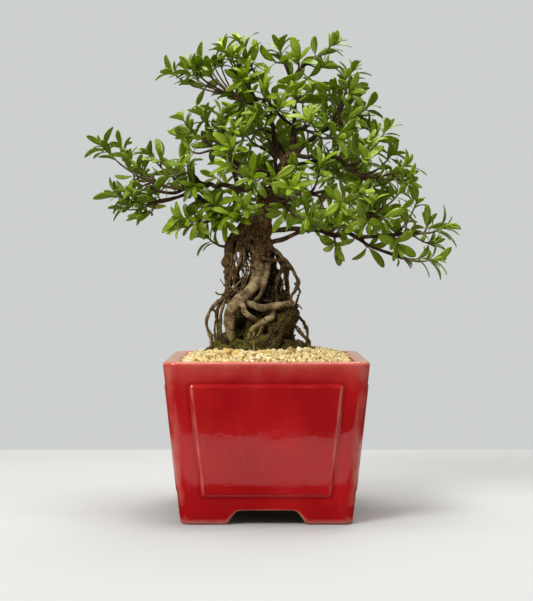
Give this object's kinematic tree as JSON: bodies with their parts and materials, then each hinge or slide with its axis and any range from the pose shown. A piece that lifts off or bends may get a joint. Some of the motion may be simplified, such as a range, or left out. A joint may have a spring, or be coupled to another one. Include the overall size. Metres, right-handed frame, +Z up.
{
  "type": "satsuki azalea bonsai",
  "caption": "Satsuki azalea bonsai with exposed roots and an open leafy crown, in a square tapered red glazed pot with panels and cut feet.",
  "frame": {"origin": "on the ground under the middle of the pot", "axes": "+Z up, the front of the tree faces -Y, +X is to the viewer's right"},
  "size_m": [0.3889, 0.2356, 0.4959],
  "materials": {
    "red_glaze": "deep red glaze, glossy, paler where it breaks over edges",
    "black_plastic": "black moulded net",
    "pumice": "pale yellow pumice grains, dry and rough",
    "bark": "brown bark, smoother and paler on the exposed roots, with moss low down",
    "leaf_green": "satin leaves, from deep green to yellow-green at the shoot tips"
  },
  "bodies": {
    "root": {"drain_mesh": "black_plastic", "pot": "red_glaze", "soil": "pumice", "spray_back_1": "leaf_green", "spray_back_2": "leaf_green", "spray_back_3": "leaf_green", "spray_back_4": "leaf_green", "spray_back_5": "leaf_green", "spray_left_arm_1": "leaf_green", "spray_left_arm_2": "leaf_green", "spray_left_arm_3": "leaf_green", "spray_left_arm_4": "leaf_green", "spray_left_arm_5": "leaf_green", "spray_left_low_1": "leaf_green", "spray_left_low_2": "leaf_green", "spray_left_low_3": "leaf_green", "spray_left_low_4": "leaf_green", "spray_left_middle_1": "leaf_green", "spray_left_middle_2": "leaf_green", "spray_left_middle_3": "leaf_green", "spray_left_middle_4": "leaf_green", "spray_left_middle_5": "leaf_green", "spray_left_middle_6": "leaf_green", "spray_left_middle_7": "leaf_green", "spray_right_low_1": "leaf_green", "spray_right_low_2": "leaf_green", "spray_right_low_3": "leaf_green", "spray_right_low_4": "leaf_green", "spray_right_low_5": "leaf_green", "spray_right_low_6": "leaf_green", "spray_right_low_7": "leaf_green", "spray_right_low_8": "leaf_green", "spray_right_middle_1": "leaf_green", "spray_right_middle_2": "leaf_green", "spray_right_middle_3": "leaf_green", "spray_right_middle_4": "leaf_green", "spray_right_middle_5": "leaf_green", "spray_right_middle_6": "leaf_green", "spray_right_middle_7": "leaf_green", "spray_right_middle_8": "leaf_green", "spray_right_middle_9": "leaf_green", "spray_right_upper_1": "leaf_green", "spray_right_upper_2": "leaf_green", "spray_right_upper_3": "leaf_green", "spray_right_upper_4": "leaf_green", "spray_right_upper_5": "leaf_green", "spray_top_1": "leaf_green", "spray_top_2": "leaf_green", "spray_top_3": "leaf_green", "spray_top_left_1": "leaf_green", "spray_top_left_2": "leaf_green", "spray_top_left_3": "leaf_green", "spray_top_left_4": "leaf_green", "spray_top_left_5": "leaf_green", "tree": "bark"}
  },
  "joints": []
}
